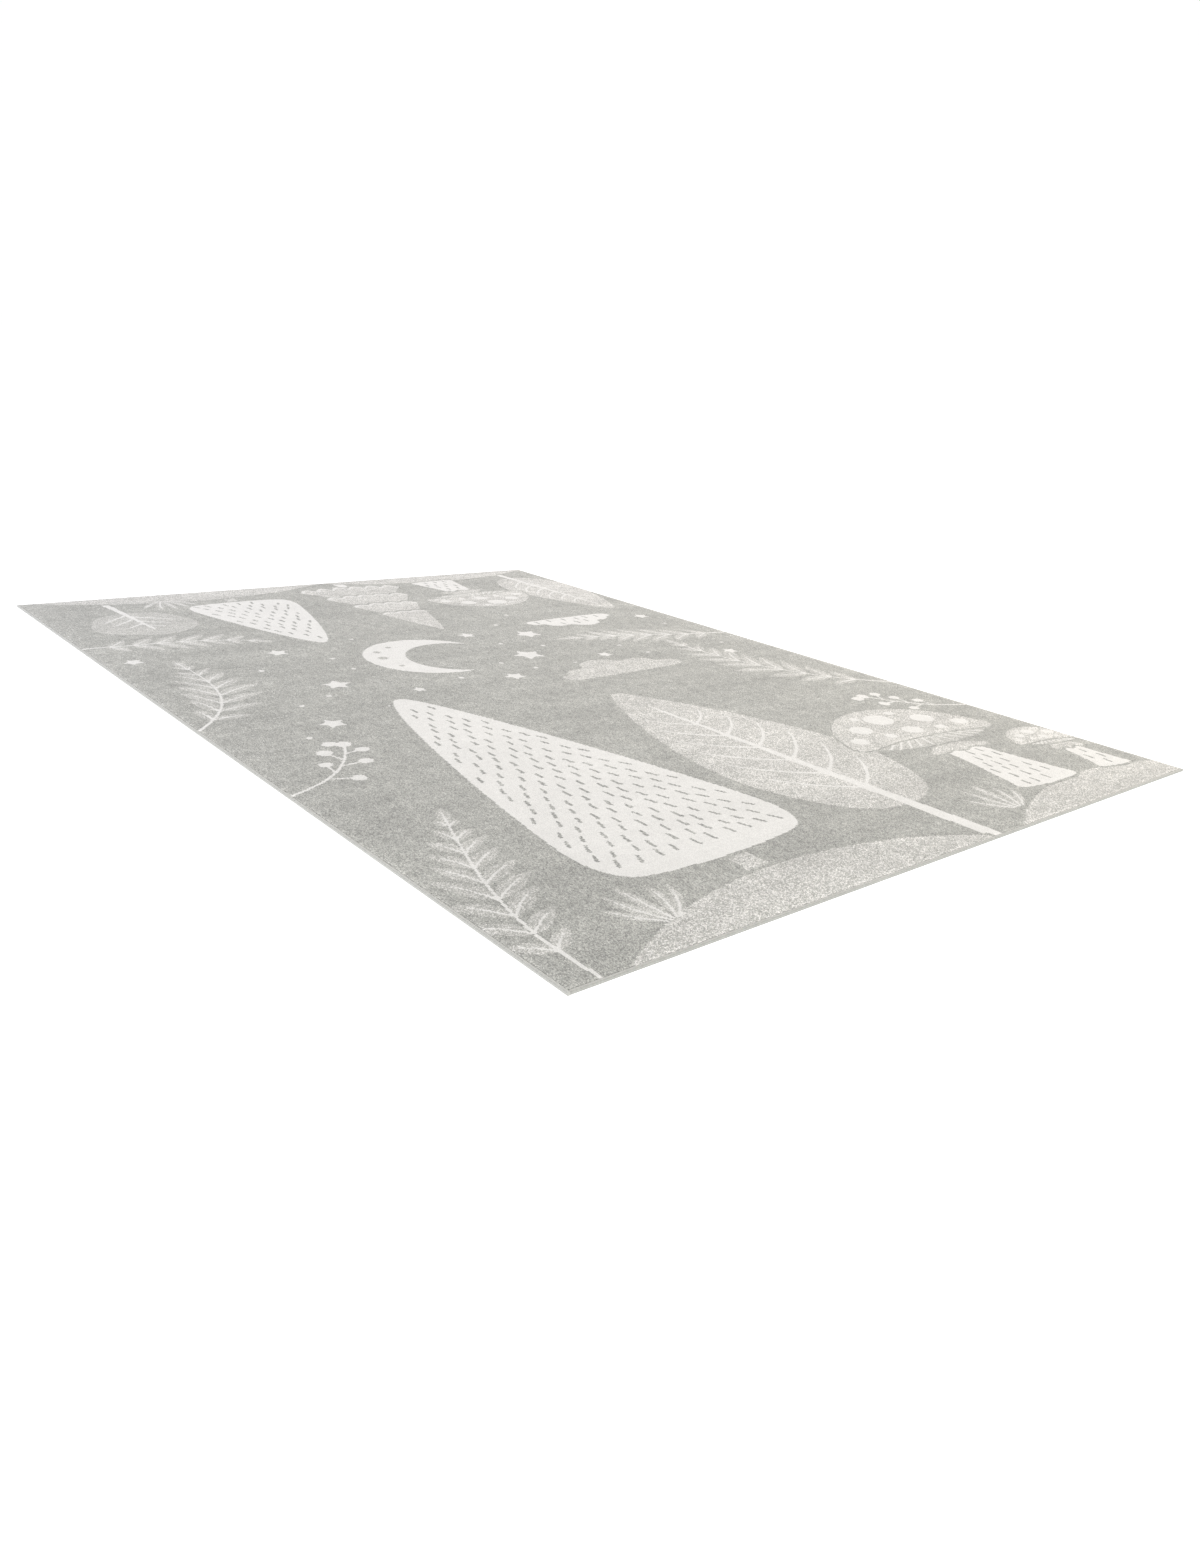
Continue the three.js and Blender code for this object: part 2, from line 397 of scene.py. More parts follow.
def moon(x, y, tilt, r):
    """A crescent: a disc less a smaller one set to its side."""
    f = Frame(x, y, tilt)
    q, off = 0.80 * r, 0.44 * r
    meet = (r * r - q * q + off * off) / (2 * off)
    a = math.acos(meet / r)
    b = math.acos((meet - off) / q)
    t = np.linspace(a, 2 * math.pi - a, 60)
    outer = np.stack([r * np.cos(t), r * np.sin(t)], 1)
    t = np.linspace(2 * math.pi - b, b, 50)[1:-1]
    inner = np.stack([off + q * np.cos(t), q * np.sin(t)], 1)
    area(f, np.vstack([outer, inner]), CREAM, keyline=9, round_=False)
    for u, v, s in [(-0.78, 0.14, 0.060), (-0.70, -0.20, 0.080), (-0.60, 0.45, 0.048), (-0.44, -0.62, 0.050)]:
        ellipse(f, u * r, v * r, s * r, s * r, HALF, over=(CREAM,))


def star(x, y, tilt, r, yarn=CREAM):
    f = Frame(x, y, tilt)
    pts = []
    for k in range(10):
        a = math.pi / 2 + k * math.pi / 5
        q = r if k % 2 == 0 else r * 0.50
        pts.append((q * math.cos(a), q * math.sin(a)))
    soft = []
    n = len(pts)
    for k in range(n):
        a, b, c = np.array(pts[k - 1]), np.array(pts[k]), np.array(pts[(k + 1) % n])
        soft += [b + (a - b) * 0.22, b + (a - b) * 0.06 + (c - b) * 0.06, b + (c - b) * 0.22]
    area(f, soft, yarn, round_=False)


def berry_sprig(points, berries, size=15, seed=0):
    """A bare light twig with round berries on short stalks."""
    rng = np.random.default_rng(seed)
    p = bezier(*points)
    stroke(p, 6.0, 4.5)
    leg = np.hypot(*np.diff(p, axis=0).T)
    run = np.concatenate([[0], np.cumsum(leg)]) / leg.sum()
    for k in range(berries):
        s = 0.30 + 0.70 * (k + 0.4) / berries
        at = np.array([np.interp(s, run, p[:, 0]), np.interp(s, run, p[:, 1])])
        b = np.array([np.interp(s - 0.03, run, p[:, 0]), np.interp(s - 0.03, run, p[:, 1])])
        way = math.atan2(*(at - b)[::-1]) + (1 if k % 2 else -1) * rng.uniform(0.75, 1.05)
        ln = rng.uniform(38, 58) * (1.1 - 0.35 * s)
        tip = at + ln * np.array([math.cos(way), math.sin(way)])
        stroke([at, tip], 4.5, 4.0)
        ellipse(Frame(*tip), 0, 0, size * rng.uniform(0.85, 1.1), size * rng.uniform(0.85, 1.1), CREAM)
    ellipse(Frame(*p[-1]), 0, 0, size, size, CREAM)


def grass(x, y, tilt, blades, high, seed=0):
    """A tuft of long blades."""
    rng = np.random.default_rng(seed)
    mid = (blades - 1) / 2
    for k in sorted(range(blades), key=lambda k: -abs(k - mid)):
        a = tilt + 90 - (k - mid) * 19 + rng.uniform(-4, 4)
        h = high * (1 - 0.10 * abs(k - mid)) * rng.uniform(0.9, 1.0)
        c, s = math.cos(math.radians(tilt)), math.sin(math.radians(tilt))
        d = (k - mid) * 7
        leaf(x + d * c, y + d * s, a, h, 0.17 * h + 3, bend=-0.05 * np.sign(k - mid), rib_to=0.8)


def hill(x, top, wide, high, yarn, down=False, marks=0, seed=0):
    """A low hill that rises from the front edge, or with down from the back edge."""
    s = -1.0 if down else 1.0
    edge = CHART_L / 2
    f = Frame(x, -s * edge, 180.0 if down else 0.0)
    rise = edge - abs(top)
    ellipse(f, 0, rise - high, wide, high, yarn, keyline=9)
    if marks:
        def within(u, v):
            return (u / wide) ** 2 + ((v - rise + high) / (high - 22)) ** 2 < 1 and v > 8
        ticks(f, within, 46, 34, 20, 6.8, box=(-wide, 12, wide, rise), lean=0, seed=seed)


def draw():
    # branches that reach in from the long sides
    frond(((800, -430), (640, -330), (560, -150), (560, 90)), 9, 128, 40, seed=1)
    frond(((800, 150), (640, 160), (500, 250), (340, 262)), 8, 112, 36, seed=2, lean=48)
    frond(((-800, -40), (-680, 60), (-640, 210), (-655, 390)), 8, 118, 38, seed=3)
    frond(((-800, 640), (-650, 610), (-540, 640), (-420, 560)), 7, 100, 34, seed=4)
    frond(((-742, -1150), (-770, -980), (-700, -800), (-640, -640)), 9, 104, 35, seed=6)
    berry_sprig(((800, -640), (730, -625), (670, -590), (610, -480)), 6, 14, seed=2)
    berry_sprig(((-800, -420), (-720, -400), (-650, -350), (-600, -230)), 6, 14, seed=5)
    # sky
    moon(-110, 262, -28, 158)
    cloud(250, -62, 2, 380, HEATHER)
    cloud(470, 465, 182, 300, CREAM, marks=1, seed=6)
    for x, y, t, r in [(118, 168, 10, 44), (-425, 130, -12, 34), (250, 350, 20, 38), (-420, 430, 5, 28), (90, 400, -8, 24), (-30, 20, 14, 28), (-560, -110, 8, 30), (300, 90, 30, 22), (-285, 20, 0, 19), (640, -20, 12, 24), (-735, 480, 20, 24), (700, 400, 8, 26)]:
        star(x, y, t, r)
    for x, y, r in [(-150, 60, 7), (120, 290, 6), (-330, 230, 6), (210, 230, 7), (400, 150, 6), (-520, 300, 7), (-330, 330, 6), (60, 60, 6), (-560, 20, 6), (-400, -60, 7), (230, 470, 6), (10, 130, 6), (690, 60, 6), (-200, 480, 6), (700, 300, 6), (330, 560, 6), (180, 60, 5), (-640, -170, 6), (420, 60, 6), (-480, 60, 6)]:
        ellipse(Frame(x, y), 0, 0, r, r, CREAM)
    # far woodland, head down along the back edge
    leaf_tree(665, 1110, 183, 500, 250, trunk=90)
    tier_fir(96, 1124, 178, 560, 320, tiers=4, trunk=80, yarn=HEATHER, seed=2)
    tall_tree(-285, 1050, 181, 500, 310, trunk=70, yarn=CREAM, seed=3)
    round_tree(-610, 1120, 184, 250, trunk=170)
    hill(-360, 1035, 640, 480, HEATHER, down=True)
    hill(430, 1052, 640, 480, HEATHER, down=True)
    mushroom(390, 1058, 183, 380, 350, 104, seed=8)
    grass(-455, 1058, 180, 5, 120, 1)
    # near woodland, along the front edge
    leaf_tree(118, -1128, 2, 780, 390, trunk=150)
    tall_tree(-330, -1050, 2, 930, 470, trunk=95, yarn=CREAM, seed=5)
    hill(-290, -1030, 620, 470, HEATHER)
    hill(560, -1048, 600, 500, HEATHER)
    mushroom(470, -1046, -3, 480, 440, 128, seed=7)
    mushroom(695, -1062, -9, 250, 200, 66, seed=10)
    grass(-560, -1078, 4, 5, 130, 3)
    grass(278, -1090, -4, 5, 118, 5)


draw()

# ================================================================== the meshes
EDGE = 5.0  # mm, an overcast edge's width
EDGE_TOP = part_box("edge_long_left")[1][2] / MM
PILE_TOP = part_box("woven_body")[1][2] / MM
FLAT_W, FLAT_L = CHART_W, CHART_L
BODY_W, BODY_L = FLAT_W + 5.2, FLAT_L + 5.2  # over the outer tufts


def mesh_object(name, verts, tris, materials, slots=None, smooth=True, uv=None):
    """A mesh object from arrays: verts in mm, tris as vertex numbers, slots as one material number for each triangle, uv as one point for each corner of each triangle."""
    verts = np.asarray(verts, np.float64) * MM
    tris = np.asarray(tris, np.int32)
    me = bpy.data.meshes.new(name)
    me.vertices.add(len(verts))
    me.vertices.foreach_set("co", verts.astype(np.float32).ravel())
    me.loops.add(tris.size)
    me.loops.foreach_set("vertex_index", tris.ravel())
    me.polygons.add(len(tris))
    me.polygons.foreach_set("loop_start", np.arange(0, tris.size, 3, dtype=np.int32))
    if slots is not None:
        me.polygons.foreach_set("material_index", np.asarray(slots, np.int32))
    me.polygons.foreach_set("use_smooth", np.full(len(tris), smooth))
    for m in materials:
        me.materials.append(m)
    if uv is not None:
        layer = me.uv_layers.new(name="OFBake")
        layer.uv.foreach_set("vector", np.asarray(uv, np.float32).ravel())
    me.update(calc_edges=True)
    me.validate()
    ob = bpy.data.objects.new(name, me)
    bpy.context.scene.collection.objects.link(ob)
    return ob


def value_noise(x, y, pitch, seed):
    """Smooth noise from -1 to 1 on a grid of that pitch, in mm."""
    rng = np.random.default_rng(seed)
    n = int(3200 / pitch) + 6
    grid = rng.uniform(-1, 1, (n, n))
    u, v = (np.asarray(x) + 1600) / pitch, (np.asarray(y) + 1600) / pitch
    i, j = np.floor(u).astype(int), np.floor(v).astype(int)
    fu, fv = u - i, v - j
    fu, fv = fu * fu * (3 - 2 * fu), fv * fv * (3 - 2 * fv)
    i, j = np.clip(i, 0, n - 2), np.clip(j, 0, n - 2)
    a = grid[j, i] * (1 - fu) + grid[j, i + 1] * fu
    b = grid[j + 1, i] * (1 - fu) + grid[j + 1, i + 1] * fu
    return a * (1 - fv) + b * fv


def pile_height(x, y):
    """How far the pile tips stand above or below their even height, in mm. Toward the rim, where the overcasting pulls
    the outer rows down, they fall away to little more than the height of the edge."""
    d = np.maximum(0, np.minimum(FLAT_W / 2 - np.abs(x), FLAT_L / 2 - np.abs(y)))
    fall = 0.80 * np.exp(-d / 7.0) + 0.78 * np.exp(-d / 60.0)
    return 0.16 * value_noise(x, y, 210, 1) + 0.12 * value_noise(x, y, 64, 2) + 0.08 * value_noise(x, y * 3, 90, 3) - 0.22 - fall


def chart_mesh():
    """The flat of the pile as triangles that follow the chart's outlines. Returns verts, triangles and a yarn for each."""
    P = np.full((NY + 2, NX + 2), -1, np.int16)
    P[1:-1, 1:-1] = chart
    flat = P[1:, 1:-1] != P[:-1, 1:-1]  # (NY+1, NX) unit edges along a row of grid points
    tall = P[1:-1, 1:] != P[1:-1, :-1]  # (NY, NX+1) unit edges along a column
    right = np.zeros((NY + 1, NX + 1), bool)
    left, up, down = right.copy(), right.copy(), right.copy()
    right[:, :-1] = flat
    left[:, 1:] = flat
    up[:-1, :] = tall
    down[1:, :] = tall
    straight = ((right & left) & ~up & ~down) | ((up & down) & ~right & ~left)
    corner = (right | left | up | down) & ~straight
    # points along the rug's own outline too, so that its rim can waver
    corner[0, ::4] = corner[-1, ::4] = True
    corner[::4, 0] = corner[::4, -1] = True
    corner[0, -1] = corner[-1, -1] = corner[-1, 0] = True
    js, is_ = np.nonzero(corner)
    number = np.full(corner.shape, -1, np.int64)
    number[js, is_] = np.arange(len(js))
    gx = is_ * FLAT_W / NX - FLAT_W / 2
    gy = js * FLAT_L / NY - FLAT_L / 2
    rng = np.random.default_rng(11)
    wx, wy = rng.uniform(-0.62, 0.62, (2, len(js)))
    wx[(is_ == 0) | (is_ == NX)] = 0
    wy[(js == 0) | (js == NY)] = 0
    verts = np.stack([gx + wx, gy + wy], 1)
    edges = []
    for j in range(NY + 1):
        at = np.nonzero(corner[j])[0]
        if len(at) > 1:
            run = np.concatenate([[0], np.cumsum(flat[j])])
            ok = run[at[1:]] - run[at[:-1]] == at[1:] - at[:-1]
            edges.append(np.stack([number[j, at[:-1][ok]], number[j, at[1:][ok]]], 1))
    for i in range(NX + 1):
        at = np.nonzero(corner[:, i])[0]
        if len(at) > 1:
            run = np.concatenate([[0], np.cumsum(tall[:, i])])
            ok = run[at[1:]] - run[at[:-1]] == at[1:] - at[:-1]
            edges.append(np.stack([number[at[:-1][ok], i], number[at[1:][ok], i]], 1))
    edges = np.vstack(edges)
    # points inside plain areas, to carry the pile's unevenness
    pitch = 15.0
    nx, ny = int(FLAT_W / pitch), int(FLAT_L / pitch)
    ix, iy = np.meshgrid(np.arange(1, nx), np.arange(1, ny))
    px = ix.ravel() * FLAT_W / nx - FLAT_W / 2 + rng.uniform(-3.5, 3.5, ix.size)
    py = iy.ravel() * FLAT_L / ny - FLAT_L / 2 + rng.uniform(-3.5, 3.5, ix.size)
    # and a row of them close to the rim, where the pile falls away
    row = np.arange(-FLAT_W / 2 + 14, FLAT_W / 2 - 14, 12.0)
    col = np.arange(-FLAT_L / 2 + 14, FLAT_L / 2 - 14, 12.0)
    near = 4.6
    px = np.concatenate([px, row, row, col * 0 + FLAT_W / 2 - near, col * 0 - FLAT_W / 2 + near])
    py = np.concatenate([py, row * 0 + FLAT_L / 2 - near, row * 0 - FLAT_L / 2 + near, col, col])
    ci = ((px + FLAT_W / 2) / FLAT_W * NX).astype(int)
    cj = ((py + FLAT_L / 2) / FLAT_L * NY).astype(int)
    keep = np.ones(len(px), bool)
    for dj in (-1, 0, 1):
        for di in (-1, 0, 1):
            keep &= P[cj + dj + 1, ci + di + 1] == P[cj + 1, ci + 1]
    inner = np.stack([px, py], 1)[keep]
    out = delaunay_2d_cdt([tuple(v) for v in np.vstack([verts, inner])], [tuple(int(k) for k in e) for e in edges], [], 0, 1e-6)
    v = np.array([tuple(q) for q in out[0]])
    t = np.array(out[2], np.int64)
    mid = v[t].mean(1)
    # a triangle's yarn is that of the cell that holds its middle; the outlines waver by less than a quarter cell, so a
    # triangle whose middle falls over the line takes the yarn that most of its inner points agree on
    yarn = np.zeros(len(t), int)
    votes = np.zeros((len(t), 5), np.int16)
    for wa, wb in ((1 / 3, 1 / 3), (0.2, 0.2), (0.6, 0.2), (0.2, 0.6), (0.45, 0.45), (0.1, 0.45), (0.45, 0.1)):
        q = v[t[:, 0]] * wa + v[t[:, 1]] * wb + v[t[:, 2]] * (1 - wa - wb)
        i = np.clip(((q[:, 0] + FLAT_W / 2) / FLAT_W * NX).astype(int), 0, NX - 1)
        j = np.clip(((q[:, 1] + FLAT_L / 2) / FLAT_L * NY).astype(int), 0, NY - 1)
        votes[np.arange(len(t)), chart[j, i]] += 1
    yarn = votes.argmax(1)
    area = 0.5 * ((v[t[:, 1], 0] - v[t[:, 0], 0]) * (v[t[:, 2], 1] - v[t[:, 0], 1]) - (v[t[:, 2], 0] - v[t[:, 0], 0]) * (v[t[:, 1], 1] - v[t[:, 0], 1]))
    t[area < 0] = t[area < 0][:, ::-1]
    return v, t, yarn, mid


# ================================================================== the finishes
def finish_nodes(name):
    m = bpy.data.materials.new(name)
    m.use_nodes = True
    t = m.node_tree
    t.nodes.clear()
    out = t.nodes.new("ShaderNodeOutputMaterial")
    bsdf = t.nodes.new("ShaderNodeBsdfPrincipled")
    t.links.new(bsdf.outputs[0], out.inputs[0])
    return m, t, bsdf


class Net:
    """Short ways to add nodes to a tree."""

    def __init__(self, tree):
        self.t = tree
        self.place = tree.nodes.new("ShaderNodeTexCoord").outputs["Object"]

    def _in(self, socket, value):
        if isinstance(value, bpy.types.NodeSocket):
            self.t.links.new(value, socket)
        else:
            socket.default_value = value

    def at(self, scale=(1, 1, 1), shift=(0, 0, 0), turn=0.0, of=None):
        n = self.t.nodes.new("ShaderNodeMapping")
        self.t.links.new(of or self.place, n.inputs[0])
        n.inputs["Location"].default_value = shift
        n.inputs["Rotation"].default_value = (0, 0, turn)
        n.inputs["Scale"].default_value = scale
        return n.outputs[0]

    def noise(self, place, scale, detail=2.0, rough=0.5):
        n = self.t.nodes.new("ShaderNodeTexNoise")
        self.t.links.new(place, n.inputs["Vector"])
        n.inputs["Scale"].default_value = scale
        n.inputs["Detail"].default_value = detail
        n.inputs["Roughness"].default_value = rough
        return n.outputs["Fac"]

    def cells(self, place, scale, stray=1.0, flat=False):
        n = self.t.nodes.new("ShaderNodeTexVoronoi")
        if flat:
            n.voronoi_dimensions = "2D"
        self.t.links.new(place, n.inputs["Vector"])
        n.inputs["Scale"].default_value = scale
        n.inputs["Randomness"].default_value = stray
        return n.outputs["Distance"], n.outputs["Color"]

    def math(self, op, a, b=0.0, c=0.0, clamp=False):
        n = self.t.nodes.new("ShaderNodeMath")
        n.operation = op
        n.use_clamp = clamp
        self._in(n.inputs[0], a)
        self._in(n.inputs[1], b)
        self._in(n.inputs[2], c)
        return n.outputs[0]

    def span(self, x, lo, hi, to_lo=0.0, to_hi=1.0, smooth=False):
        n = self.t.nodes.new("ShaderNodeMapRange")
        if smooth:
            n.interpolation_type = "SMOOTHSTEP"
        self._in(n.inputs["Value"], x)
        n.inputs["From Min"].default_value = lo
        n.inputs["From Max"].default_value = hi
        n.inputs["To Min"].default_value = to_lo
        n.inputs["To Max"].default_value = to_hi
        return n.outputs["Result"]

    def away(self, axis):
        """How far from the rug's middle along x (0) or y (1), in metres."""
        n = self.t.nodes.new("ShaderNodeSeparateXYZ")
        self.t.links.new(self.place, n.inputs[0])
        return self.math("ABSOLUTE", n.outputs[axis])

    def part(self, colour, k):
        n = self.t.nodes.new("ShaderNodeSeparateColor")
        self.t.links.new(colour, n.inputs[0])
        return n.outputs[k]

    def mix(self, share, a, b):
        n = self.t.nodes.new("ShaderNodeMix")
        n.data_type = "RGBA"
        self._in(n.inputs["Factor"], share)
        for s, v in ((n.inputs["A"], a), (n.inputs["B"], b)):
            self._in(s, (*v, 1.0) if isinstance(v, tuple) else v)
        return n.outputs["Result"]

    def scaled(self, colour, by):
        """colour times a number."""
        n = self.t.nodes.new("ShaderNodeVectorMath")
        n.operation = "SCALE"
        self._in(n.inputs[0], colour)
        self._in(n.inputs["Scale"], by)
        return n.outputs[0]

    def bump(self, height, distance, strength=1.0, after=None):
        n = self.t.nodes.new("ShaderNodeBump")
        n.inputs["Distance"].default_value = distance
        n.inputs["Strength"].default_value = strength
        self._in(n.inputs["Height"], height)
        if after is not None:
            self.t.links.new(after, n.inputs["Normal"])
        return n.outputs[0]


def srgb(r, g, b):
    """Linear colour from 0-255 sRGB."""
    return tuple((c / 255 / 12.92) if c / 255 <= 0.04045 else ((c / 255 + 0.055) / 1.055) ** 2.4 for c in (r, g, b))


TUFT = 1 / 0.0023  # tufts in a metre


def pile_yarn(name, dark, light, share, spread=0.25, streak=0.0, grain=1.0, relief=1.0):
    """Cut pile. Each tuft is dark or light yarn or something between: share is how many are light, spread how soft the
    change is. streak adds light and dark lines along the weft, grain is how uneven the yarn's own shade is, relief how
    deep its tufts and the tracks in it look in the bumps, and how strong the painted shade between tufts and in the
    patches where the pile leans is."""
    m, t, bsdf = finish_nodes(name)
    n = Net(t)
    # tufts aren't round: their outlines stray by a fibre or two
    stray = n.t.nodes.new("ShaderNodeTexNoise")
    t.links.new(n.place, stray.inputs["Vector"])
    stray.inputs["Scale"].default_value = 620
    stray.inputs["Detail"].default_value = 2
    off = n.t.nodes.new("ShaderNodeVectorMath")
    off.operation = "MULTIPLY_ADD"
    t.links.new(stray.outputs["Color"], off.inputs[0])
    off.inputs[1].default_value = (0.0015, 0.0015, 0.0015)
    t.links.new(n.place, off.inputs[2])
    gap, tint = n.cells(off.outputs[0], TUFT, 0.9, flat=True)
    pick, shade = n.part(tint, 0), n.part(tint, 1)
    fibre = n.noise(n.place, 1500, 4, 0.75)
    rough_grain = n.noise(n.at((1, 0.8, 1), (2, 8, 1)), 46, 7, 0.88)
    # which yarn this tuft is of, drifting a little over the rug
    drift = n.noise(n.at((1, 1, 1), (3, 1, 0)), 38, 2)
    chance = n.math("ADD", pick, n.span(drift, 0.3, 0.7, -0.10, 0.10))
    chance = n.math("ADD", chance, n.span(fibre, 0.25, 0.75, -0.22, 0.22))
    if streak:
        lines = n.noise(n.at((20, 300, 1), (0, 5, 0)), 1.0, 3, 0.65)
        chance = n.math("ADD", chance, n.span(lines, 0.3, 0.7, -streak, streak))
    colour = n.mix(n.span(chance, 1 - share - spread, 1 - share + spread), dark, light)
    # each tuft's own tone, fibres on its cut tip, and painted shade darkening the gaps between tufts
    level = n.span(shade, 0, 1, 1 - 0.38 * grain, 1 + 0.38 * grain)
    level = n.math("MULTIPLY", level, n.span(fibre, 0.25, 0.75, 1 - 0.10 * grain, 1 + 0.10 * grain))
    level = n.math("MULTIPLY", level, n.span(rough_grain, 0.3, 0.7, 1 - 0.30 * grain, 1 + 0.30 * grain))
    level = n.math("MULTIPLY", level, n.span(gap, 0.16, 0.66, 1 + 0.06 * relief, 1 - 0.30 * relief, True))
    # weft and warp lines of uneven yarn tone, and soft patches and bands of painted shade where the pile leans another
    # way and takes the light differently
    weft = n.noise(n.at((2.2, 150, 1), (0, 2, 0)), 1.0, 4, 0.6)
    warp = n.noise(n.at((170, 2.6, 1), (7, 0, 0)), 1.0, 3, 0.6)
    patch = n.noise(n.at((0.8, 1.9, 1), (5, 9, 0)), 4.2, 3, 0.55)
    lean = n.math("ADD", n.span(weft, 0.25, 0.75, -0.034, 0.034), n.span(warp, 0.25, 0.75, -0.018, 0.018))
    lean = n.math("ADD", lean, n.span(patch, 0.3, 0.7, -0.085 * relief, 0.085 * relief))
    band = n.noise(n.at((1.6, 17, 1), (4, 6, 1)), 1.0, 4, 0.6)
    lean = n.math("ADD", lean, n.span(band, 0.3, 0.7, -0.075 * relief, 0.075 * relief))
    # painted light: the pile is lightened over the last 90 mm of the long sides and the last few mm of every side, to
    # offset the shade where the outer rows are pulled down and fall away to the edge
    hw, hl = BODY_W / 2 * MM, BODY_L / 2 * MM
    across, along = n.away(0), n.away(1)
    lean = n.math("ADD", lean, n.math("MULTIPLY", n.math("POWER", n.span(across, hw - 0.09, hw, 0, 1), 2.0), 0.09))
    lean = n.math("ADD", lean, n.span(across, hw - 0.0075, hw - 0.0015, 0, 0.16, True))
    lean = n.math("ADD", lean, n.span(along, hl - 0.0075, hl - 0.0015, 0, 0.17, True))
    level = n.math("MULTIPLY", level, n.math("ADD", lean, 1.0))
    t.links.new(n.scaled(colour, level), bsdf.inputs["Base Color"])
    rough = n.math("ADD", n.span(fibre, 0.2, 0.8, 0.86, 0.98), n.span(shade, 0, 1, -0.05, 0.02))
    t.links.new(rough, bsdf.inputs["Roughness"])
    top = n.math("MULTIPLY", n.span(gap, 0.05, 0.66, 1.0, 0.0, True), n.span(shade, 0, 1, 0.6, 1.0))
    normal = n.bump(rough_grain, 0.0034, 0.55 * relief)
    normal = n.bump(top, 0.0010, 0.7 * relief, normal)
    normal = n.bump(fibre, 0.0006, 0.9, normal)
    t.links.new(normal, bsdf.inputs["Normal"])
    bsdf.inputs["Specular IOR Level"].default_value = 0.25
    bsdf.inputs["Sheen Weight"].default_value = 0.30
    bsdf.inputs["Sheen Roughness"].default_value = 0.5
    bsdf.inputs["Sheen Tint"].default_value = (1.0, 0.995, 0.985, 1)
    return m


GREY = (0.411, 0.410, 0.383)
DEEP = (0.340, 0.340, 0.319)
PALE = (0.798, 0.777, 0.752)
yarns = [
    pile_yarn("pile_grey", DEEP, GREY, 0.78, 0.7),
    pile_yarn("pile_cream", (0.614, 0.605, 0.587), (0.655, 0.645, 0.627), 0.5, 0.7, grain=0.16, relief=0.3),
    pile_yarn("pile_heather", GREY, PALE, 0.45, 0.36, grain=0.42),
    pile_yarn("pile_half", GREY, PALE, 0.24, 0.5, streak=0.12, grain=0.42),
    pile_yarn("pile_mark", (0.30, 0.302, 0.288), GREY, 0.45, 0.6),
]


def back_finish():
    """The woven back: close weft ribs crossed by fine warp, under a thin milky size."""
    m, t, bsdf = finish_nodes("woven_back")
    n = Net(t)
    weft_tint = n.noise(n.at((9, 420, 1)), 1.0, 3, 0.6)
    warp = n.noise(n.at((560, 30, 1), (4, 0, 0)), 1.0, 2, 0.6)
    patch = n.noise(n.at((1, 1, 1)), 7.0, 4, 0.6)
    flecks, pick = n.cells(n.at((330, 760, 50)), 1.0)
    level = n.math("ADD", n.span(weft_tint, 0.25, 0.75, 0.84, 1.10), n.span(warp, 0.3, 0.7, -0.07, 0.05))
    level = n.math("ADD", level, n.span(patch, 0.3, 0.7, -0.05, 0.05))
    colour = n.mix(n.span(n.part(pick, 0), 0.35, 0.95), (0.55, 0.52, 0.465), (0.63, 0.60, 0.55))
    t.links.new(n.scaled(colour, level), bsdf.inputs["Base Color"])
    t.links.new(n.span(patch, 0.3, 0.7, 0.62, 0.80), bsdf.inputs["Roughness"])
    normal = n.bump(n.math("ADD", weft_tint, n.math("MULTIPLY", warp, 0.6)), 0.0006, 0.7)
    t.links.new(n.bump(flecks, 0.0003, 0.4, normal), bsdf.inputs["Normal"])
    bsdf.inputs["Specular IOR Level"].default_value = 0.3
    return m


def overcast_yarn(name, along_y, dark, light):
    """Overcast edge: bulked yarn whose strands run over the edge."""
    m, t, bsdf = finish_nodes(name)
    n = Net(t)
    run, over = 2600, 240
    strands = n.noise(n.at((over, run, over) if along_y else (run, over, over)), 1.0, 3, 0.6)
    wraps = n.noise(n.at((30, 330, 30) if along_y else (330, 30, 30), (2, 3, 4)), 1.0, 2, 0.5)
    fuzz = n.noise(n.at((1, 1, 1), (1, 1, 1)), 2400, 2, 0.6)
    patch = n.noise(n.at((1, 1, 1)), 9, 3, 0.5)
    level = n.math("ADD", n.span(strands, 0.25, 0.75, 0.86, 1.09), n.span(wraps, 0.3, 0.7, -0.045, 0.04))
    level = n.math("ADD", level, n.span(patch, 0.3, 0.7, -0.02, 0.02))
    level = n.math("ADD", level, n.span(fuzz, 0.3, 0.7, -0.025, 0.025))
    t.links.new(n.scaled(n.mix(n.span(wraps, 0.35, 0.7), dark, light), level), bsdf.inputs["Base Color"])
    t.links.new(n.span(strands, 0.2, 0.8, 0.72, 0.88), bsdf.inputs["Roughness"])
    normal = n.bump(strands, 0.0006, 0.8)
    t.links.new(n.bump(fuzz, 0.0001, 0.5, normal), bsdf.inputs["Normal"])
    bsdf.inputs["Specular IOR Level"].default_value = 0.3
    bsdf.inputs["Sheen Weight"].default_value = 0.25
    bsdf.inputs["Sheen Roughness"].default_value = 0.5
    return m


# ================================================================== the pile
RIM = [(1.5, PILE_TOP - 1.84), (3.1, PILE_TOP - 1.98), (2.6, PILE_TOP - 2.9), (2.6, 2.35)]  # out from the flat, height


